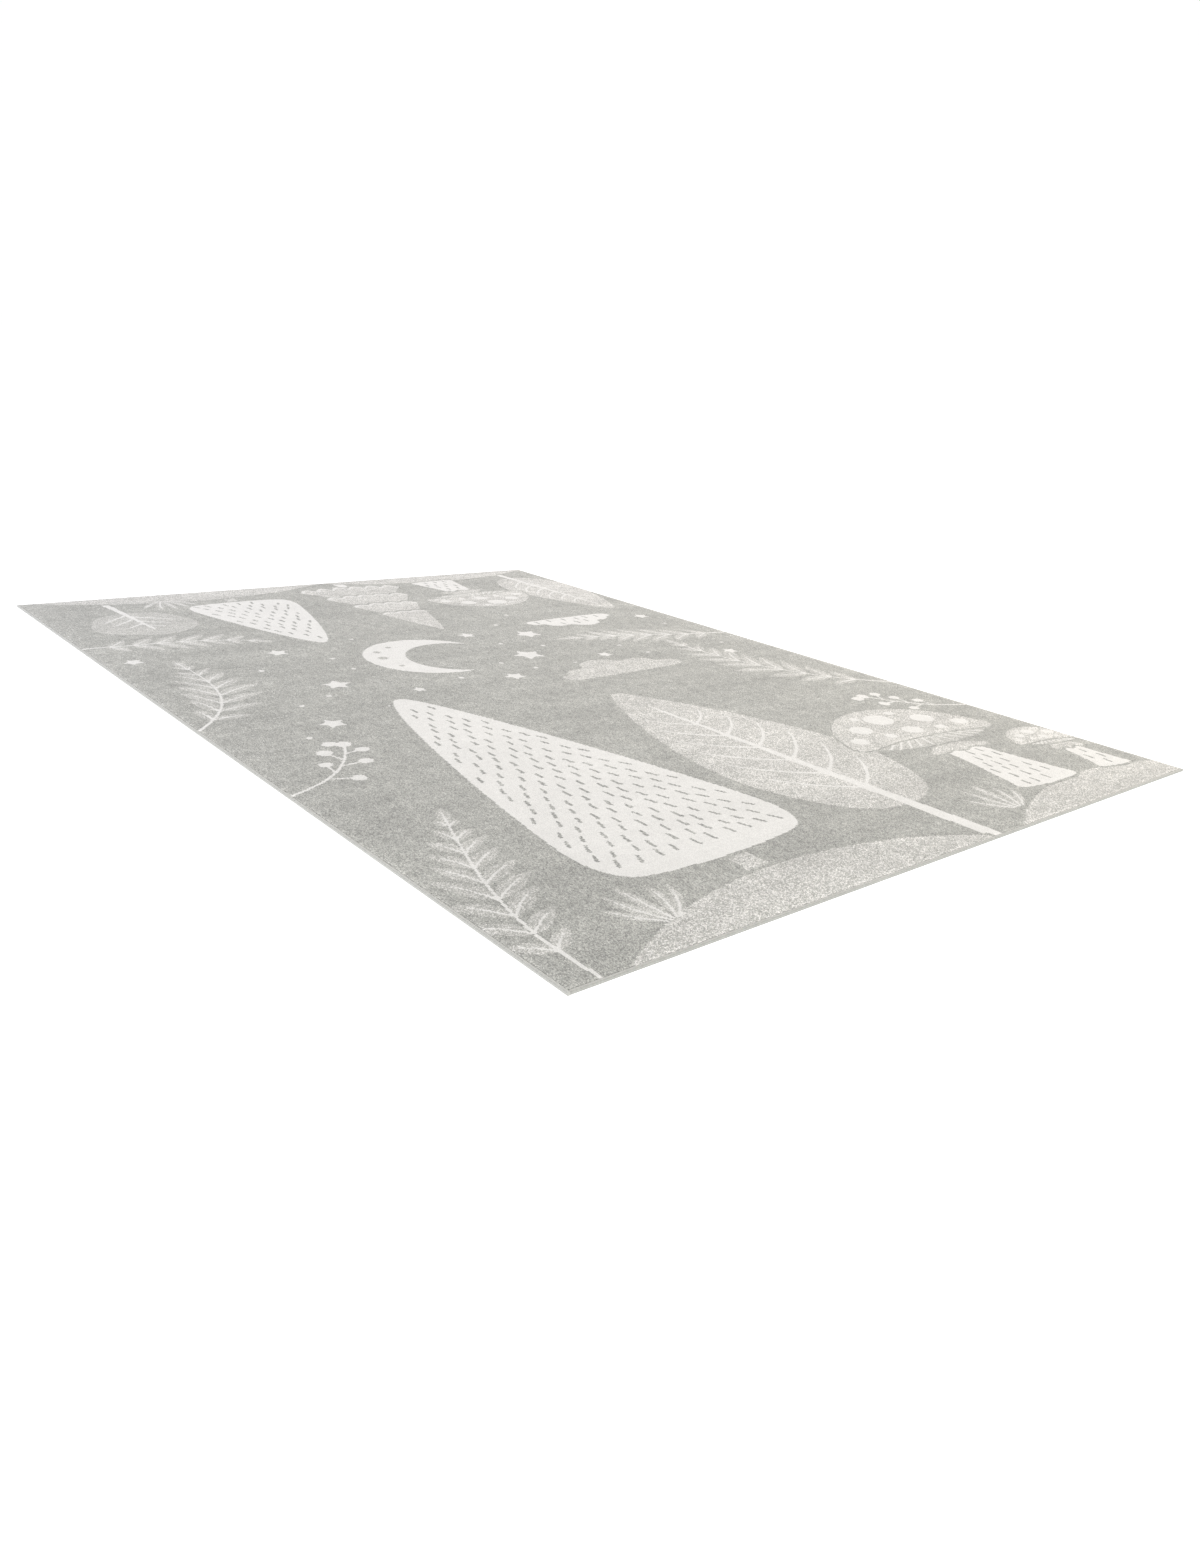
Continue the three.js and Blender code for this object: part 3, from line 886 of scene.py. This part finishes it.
def pile_body():
    v, t, yarn, _ = chart_mesh()
    z = PILE_TOP + pile_height(v[:, 0], v[:, 1])
    top = np.column_stack([v, z])
    hw, hl = FLAT_W / 2, FLAT_L / 2
    e = 1e-3
    # the flat's outline, anticlockwise: a point and the way it faces. A corner has several.
    around = []
    for k, (fixed, value, other, rising) in enumerate([(1, -hl, 0, 1), (0, hw, 1, 1), (1, hl, 0, -1), (0, -hw, 1, -1)]):
        on = np.nonzero(np.abs(v[:, fixed] - value) < e)[0]
        on = on[np.argsort(rising * v[on, other])]
        face = -90 + 90 * k
        around += [(int(i), face) for i in on]
        around += [(int(on[-1]), face + 30), (int(on[-1]), face + 60)]
    idx = np.array([a for a, _ in around])
    ang = np.radians([b for _, b in around])
    n = len(idx)
    rings = [idx]
    verts = [top]
    count = len(top)
    wob = 0.22 * np.random.default_rng(5).uniform(-1, 1, n)
    for out, high in RIM:
        q = top[idx].copy()
        q[:, 0] += (out + wob * (out != 2.6)) * np.cos(ang)
        q[:, 1] += (out + wob * (out != 2.6)) * np.sin(ang)
        q[:, 2] = high
        verts.append(q)
        rings.append(np.arange(count, count + n))
        count += n
    verts.append(np.array([[0, 0, RIM[-1][1]]]))
    hub = count
    faces, slots = [t], [yarn]
    # the yarn beside each stretch of the outline
    q = (top[idx] + top[np.roll(idx, -1)]) / 2
    ci = np.clip(((q[:, 0] + hw) / FLAT_W * NX).astype(int), 0, NX - 1)
    cj = np.clip(((q[:, 1] + hl) / FLAT_L * NY).astype(int), 0, NY - 1)
    side = chart[cj, ci]
    for a, b in zip(rings[:-1], rings[1:]):
        a2, b2 = np.roll(a, -1), np.roll(b, -1)
        one = np.stack([a, b, b2], 1)
        two = np.stack([a, b2, a2], 1)
        k = a != a2
        faces += [one, two[k]]
        slots += [side, side[k]]
    last = rings[-1]
    faces.append(np.stack([last, np.full(n, hub), np.roll(last, -1)], 1))
    slots.append(np.zeros(n, int))
    verts, faces, slots = np.vstack(verts), np.vstack(faces), np.concatenate(slots)
    # an unrolled map: the rim lies outside the flat, the hidden underside in a corner
    far = np.zeros(len(verts))
    for k, (ring, run) in enumerate(zip(rings[1:], np.cumsum([1.6, 1.4, 1.5, 2.4]))):
        far[ring] = run
    uv = verts[:, :2].copy()
    for ring in rings[1:]:
        uv[ring] = top[idx][:, :2] + np.stack([np.cos(ang), np.sin(ang)], 1) * far[ring][:, None]
    uv = (uv + [hw + 8, hl + 8]) / [FLAT_W + 16, FLAT_L + 16]
    loops = uv[faces.ravel()].reshape(len(faces), 3, 2)
    under = slice(len(faces) - n, len(faces))
    loops[under] = 0.0004 + 0.0028 * (verts[faces[under].ravel()][:, :2] / [BODY_W, BODY_L] + 0.5).reshape(-1, 3, 2)
    return verts, faces, slots, loops.reshape(-1, 2)


verts, faces, slots, uv = pile_body()
pile = mesh_object("pile", verts, faces, yarns, slots, uv=uv)


# ================================================================== the tufts round the rim
def rim_tufts(inset, pitch, tip, leans, seed):
    """A row of tufts along the pile's outline, each a small soft-ended lock of yarn. leans holds how far, from least to
    most, those on the two short sides and those on the two long sides lean out."""
    rng = np.random.default_rng(seed)
    locks = []
    hw, hl = FLAT_W / 2, FLAT_L / 2
    for k, (length, width) in enumerate([(FLAT_W, hl), (FLAT_L, hw), (FLAT_W, hl), (FLAT_L, hw)]):
        m = int((length + 2 * inset) / pitch)
        s = (np.arange(m) + 0.5 + rng.uniform(-0.18, 0.18, m)) / m * (length + 2 * inset) - length / 2 - inset
        face = math.radians(-90 + 90 * k)
        nx, ny = math.cos(face), math.sin(face)
        tx, ty = -ny, nx
        out = width + inset + rng.uniform(-0.25, 0.25, m)
        locks.append(np.column_stack([nx * out + tx * s, ny * out + ty * s, np.full(m, nx), np.full(m, ny), tip + rng.uniform(-0.25, 0.2, m), rng.uniform(*leans[k % 2], m)]))
    locks = np.vstack(locks)
    n = len(locks)
    x, y, nx, ny, tip, lean = locks.T
    i = np.clip(((np.clip(x, -hw + 1, hw - 1) + hw) / FLAT_W * NX).astype(int), 0, NX - 1)
    j = np.clip(((np.clip(y, -hl + 1, hl - 1) + hl) / FLAT_L * NY).astype(int), 0, NY - 1)
    yarn = chart[j, i]
    sides = 6
    # rings up a lock: height, half width, how far it leans out
    foot = 3.6
    shape = [(0.0, 0.95, -0.3), (0.52, 1.22, 0.25), (0.84, 1.10, 0.75)]
    a = np.arange(sides) * 2 * np.pi / sides
    turn = rng.uniform(0, 2 * np.pi, n)
    drift = rng.uniform(-0.35, 0.35, n)
    size = rng.uniform(0.9, 1.12, n)
    verts = []
    for t, half, push in shape:
        z = foot + (tip - foot) * t
        for k in range(sides):
            r = half * size * (1 + 0.10 * np.sin(3 * a[k] + turn))
            c, s = np.cos(a[k] + turn), np.sin(a[k] + turn)
            o = lean * push
            verts.append(np.column_stack([x + nx * o - ny * drift * t + r * c, y + ny * o + nx * drift * t + r * s, z]))
    verts.append(np.column_stack([x + nx * lean * 0.85 - ny * drift, y + ny * lean * 0.85 + nx * drift, tip]))
    verts.append(np.column_stack([x - nx * lean * 0.25, y - ny * lean * 0.25, np.full(n, foot - 0.4)]))
    per = len(verts)
    verts = np.stack(verts, 1).reshape(-1, 3)
    tri = []
    for r in range(len(shape) - 1):
        for k in range(sides):
            p, q = r * sides + k, r * sides + (k + 1) % sides
            tri += [(p, q, q + sides), (p, q + sides, p + sides)]
    base = (len(shape) - 1) * sides
    for k in range(sides):
        tri.append((base + k, base + (k + 1) % sides, per - 2))
        tri.append(((k + 1) % sides, k, per - 1))
    tri = np.array(tri)
    faces = (tri[None] + (np.arange(n) * per)[:, None, None]).reshape(-1, 3)
    # the foot stays behind the overcast edge, and the tips lean a little way over it
    over = np.clip((verts[:, 2] - EDGE_TOP - 0.05) / 0.3, 0, 1)
    for k, half in ((0, BODY_W / 2), (1, BODY_L / 2)):
        reach = half + 2.2 * over
        verts[:, k] = np.clip(verts[:, k], -reach, reach)
    return verts, faces, np.repeat(yarn, len(tri))


tufts = []
for name, inset, pitch, tip, leans, seed in (
    ("rim_tufts_outer", 1.4, 2.2, 5.22, ((0.6, 1.2), (0.3, 0.9)), 21),
    ("rim_tufts_inner", -0.8, 2.4, 5.32, ((0.4, 1.0), (0.0, 0.4)), 22),
):
    verts, faces, slots = rim_tufts(inset, pitch, tip, leans, seed)
    tufts.append(mesh_object(name, verts, faces, yarns, slots))


# ================================================================== the back
def woven_back():
    """A thin slab whose underside carries the weft ribs."""
    pitch, cols = 5.0, 19
    ribs = int(BODY_L / pitch)
    rows = ribs * 4 + 1
    xs = np.linspace(-BODY_W / 2, BODY_W / 2, cols)
    ys = np.linspace(-BODY_L / 2, BODY_L / 2, rows)
    gx, gy = np.meshgrid(xs, ys)
    wander = 0.9 * value_noise(gx, gy * 0.2, 170, 7)
    inner = np.minimum(1, (BODY_L / 2 - np.abs(gy)) / 8)
    z = 0.19 * (1 - np.cos((gy + wander * inner) * 2 * np.pi / (BODY_L / ribs)))
    under = np.column_stack([gx.ravel(), (gy + 0 * wander).ravel(), z.ravel()])
    ring = np.concatenate([np.arange(cols), np.arange(1, rows) * cols + cols - 1, (rows - 1) * cols + np.arange(cols - 2, -1, -1), np.arange(rows - 2, 0, -1) * cols])
    top = under[ring].copy()
    top[:, 2] = 2.2
    n = len(ring)
    verts = np.vstack([under, top, [[0, 0, 2.2]]])
    a = (np.arange(rows - 1)[:, None] * cols + np.arange(cols - 1)).ravel()
    faces = [np.stack([a, a + cols, a + cols + 1], 1), np.stack([a, a + cols + 1, a + 1], 1)]
    up = np.arange(n) + len(under)
    faces += [np.stack([ring, np.roll(ring, -1), np.roll(up, -1)], 1), np.stack([ring, np.roll(up, -1), up], 1)]
    faces.append(np.stack([up, np.roll(up, -1), np.full(n, len(verts) - 1)], 1))
    return verts, np.vstack(faces)


verts, faces = woven_back()
back = mesh_object("woven_back", verts, faces, [back_finish()])


# ================================================================== the overcast edges
def overcast_edge(name, along_y, at, run, seed, material):
    """A bead of yarn wound over the edge: close slanting wraps, a narrow channel where the outer face turns over. The
    long ones, along y, end round. The short ones end square against the long ones' flanks."""
    rng = np.random.default_rng(seed)
    pitch = 2.2
    wraps = int(run / pitch)
    steps = 4
    # lengths of the wraps differ a little
    lengths = pitch * rng.uniform(0.90, 1.10, wraps)
    starts = np.concatenate([[0], np.cumsum(lengths)]) * run / lengths.sum() - run / 2
    s = np.concatenate([np.interp(np.arange(wraps * steps + 1) / steps, np.arange(wraps + 1), starts)])
    phase = np.arange(len(s)) / steps
    crest = np.abs(np.sin(np.pi * phase)) ** 0.6
    fat = np.repeat(rng.uniform(-1, 1, wraps + 1), steps)[: len(s)]
    a = np.radians([6, 27, 45, 61, 84, 112, 140, 172, 210, 244, 276, 312, 342])
    sides = len(a)
    inner = (a > 0.5 * np.pi) & (a < np.pi)  # toward the pile the bead stays square
    out = np.sign(np.cos(a)) * np.abs(np.cos(a)) ** np.where(inner, 0.30, 0.58)
    up = np.sign(np.sin(a)) * np.abs(np.sin(a)) ** np.where(inner, 0.30, 0.58)
    notch = 1 - 0.13 * np.exp(-(((a - 0.785) / 0.20) ** 2))
    hw, hh = EDGE / 2, EDGE_TOP / 2
    left = np.clip((run / 2 - np.abs(s)) / 0.9, 0, 1)
    end = np.sqrt(1 - (1 - left) ** 2) * 0.14 + 0.86 if along_y else 0.985 + 0.015 * left
    wave = 0.10 * value_noise(s, s * 0 + seed * 37, 45, seed + 50)
    r = (0.935 + 0.055 * crest + 0.008 * fat)[:, None] * notch[None] * end[:, None]
    x = hw * out[None] * r + wave[:, None]
    z = hh + hh * up[None] * r
    z = np.maximum(z, 0.0)
    slant = 0.34
    y = s[:, None] - slant * x * np.minimum(1, (run / 2 - np.abs(s)) / 3.0)[:, None]
    y = np.clip(y, -run / 2, run / 2)
    x = np.clip(x, -hw, hw)
    rings = len(s)
    facing = 1 if at > 0 else -1
    if along_y:
        verts = np.stack([at + facing * x, y, z], -1)
    else:
        verts = np.stack([y, at + facing * x, z], -1)
    verts = verts.reshape(-1, 3)
    ends = verts.reshape(rings, sides, 3)[[0, -1]].mean(1)
    verts = np.vstack([verts, ends])
    k = (np.arange(rings - 1)[:, None] * sides + np.arange(sides)).ravel()
    k1 = (np.arange(rings - 1)[:, None] * sides + (np.arange(sides) + 1) % sides).ravel()
    faces = [np.stack([k, k1, k1 + sides], 1), np.stack([k, k1 + sides, k + sides], 1)]
    c = np.arange(sides)
    c1 = (c + 1) % sides
    b = (rings - 1) * sides
    faces += [np.stack([c1, c, np.full(sides, len(verts) - 2)], 1), np.stack([b + c, b + c1, np.full(sides, len(verts) - 1)], 1)]
    faces = np.vstack(faces)
    # the rings run one way round: turn the faces outwards
    flip = (facing > 0) == along_y
    if flip:
        faces = faces[:, ::-1]
    return mesh_object(name, verts, faces, [material])


# painted shade: the short edges' yarn is the long edges' yarn made a little darker, for the shade on the front edge
run_yarn = overcast_yarn("overcast_long", True, (0.445, 0.443, 0.417), (0.48, 0.477, 0.451))
cross_yarn = overcast_yarn("overcast_short", False, (0.42, 0.418, 0.394), (0.45, 0.448, 0.422))
LONG_AT, SHORT_AT = 800 - EDGE / 2, 1150 - EDGE / 2
edges = {
    "edge_long_left": overcast_edge("overcast_long_left", True, -LONG_AT, 2300, 1, run_yarn),
    "edge_long_right": overcast_edge("overcast_long_right", True, LONG_AT, 2300, 2, run_yarn),
    "edge_short_front": overcast_edge("overcast_short_front", False, -SHORT_AT, BODY_W + 0.4, 3, cross_yarn),
    "edge_short_back": overcast_edge("overcast_short_back", False, SHORT_AT, BODY_W + 0.4, 4, cross_yarn),
}

# ================================================================== what stands for what
for piece in (pile, *tufts, back):
    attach(piece, "root")
    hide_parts("woven_body")
for node, piece in edges.items():
    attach(piece, "root")
    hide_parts(node)


# ================================================================== floor, light and camera
def floor_finish():
    m, t, bsdf = finish_nodes("studio_floor")
    n = Net(t)
    mottle = n.noise(n.place, 3.0, 2)
    t.links.new(n.mix(n.span(mottle, 0.3, 0.7), (0.50, 0.50, 0.50), (0.52, 0.52, 0.52)), bsdf.inputs["Base Color"])
    # a lit table: white right up to the rug, without a shadow
    bsdf.inputs["Emission Color"].default_value = (1.0, 1.0, 1.0, 1)
    bsdf.inputs["Emission Strength"].default_value = 0.78
    bsdf.inputs["Roughness"].default_value = 0.9
    bsdf.inputs["Specular IOR Level"].default_value = 0.1
    return m


rim = [(90 * math.cos(a), 90 * math.sin(a), -0.0002) for a in np.linspace(0, 2 * math.pi, 48, endpoint=False)]
me = bpy.data.meshes.new("floor")
me.from_pydata([(x, y, z) for x, y, z in rim], [], [tuple(range(len(rim)))])
floor = bpy.data.objects.new("floor", me)
me.materials.append(floor_finish())
bpy.context.scene.collection.objects.link(floor)

world = bpy.data.worlds.new("studio")
world.use_nodes = True
bg = world.node_tree.nodes["Background"]
bg.inputs[0].default_value = (1.0, 1.0, 1.0, 1)
bg.inputs[1].default_value = 1.01
bpy.context.scene.world = world


def softbox(name, at, aim, wide, high, watts, colour):
    lamp = bpy.data.lights.new(name, "AREA")
    lamp.shape = "RECTANGLE"
    lamp.size, lamp.size_y = wide, high
    lamp.energy = watts
    lamp.color = colour
    ob = bpy.data.objects.new(name, lamp)
    z = np.array(at, float) - np.array(aim, float)
    z /= np.linalg.norm(z)
    x = np.cross((0, 0, 1), z)
    x /= np.linalg.norm(x)
    y = np.cross(z, x)
    ob.matrix_world = Matrix(((x[0], y[0], z[0], at[0]), (x[1], y[1], z[1], at[1]), (x[2], y[2], z[2], at[2]), (0, 0, 0, 1)))
    bpy.context.scene.collection.objects.link(ob)
    return ob


softbox("key", (3.6, 1.6, 1.6), (0.7, 0.5, 0), 2.4, 1.4, 48, (1.0, 0.90, 0.81))
softbox("left", (-2.2, 3.6, 2.2), (-0.5, 1.0, 0), 2.6, 2.0, 46, (0.68, 0.74, 1.0))
softbox("front", (-1.2, -3.9, 0.8), (0.1, -1.0, 0), 4.2, 1.0, 13, (0.88, 1.0, 0.88))
softbox("low_left", (-3.9, -0.4, 0.8), (-0.9, 0.0, 0), 4.0, 1.0, 26, (1.0, 0.98, 0.97))
softbox("near_right", (1.6, -1.0, 2.2), (0.8, -0.9, 0), 1.2, 1.2, 24, (1.0, 0.89, 0.70))
softbox("low_right", (3.0, -3.2, 0.9), (0.7, -1.1, 0), 2.4, 1.0, 8, (0.90, 0.95, 1.0))

camera = bpy.data.cameras.new("camera")
camera.sensor_fit = "VERTICAL"
camera.sensor_height = 36.0
camera.sensor_width = 36.0
camera.lens = 36.0 * 1156.435 / 1542
camera.clip_start, camera.clip_end = 0.05, 200
eye = bpy.data.objects.new("camera", camera)
right = (0.7660582738, -0.6390646692, 0.0689280050)
upward = (0.1656683767, 0.2999186058, 0.9394694348)
behind = (-0.6210545147, -0.7082691428, 0.3356279357)
place = (-1.5719120016, -2.0588759101, 0.7090324522)
eye.matrix_world = Matrix([[right[k], upward[k], behind[k], place[k]] for k in range(3)] + [[0, 0, 0, 1]])
bpy.context.scene.collection.objects.link(eye)
bpy.context.scene.camera = eye
bpy.context.scene.view_settings.view_transform = "Standard"
# the pile's fine grain stays in the picture where noise is taken out
bpy.context.scene.cycles.denoising_prefilter = "NONE"

bpy.context.view_layer.update()
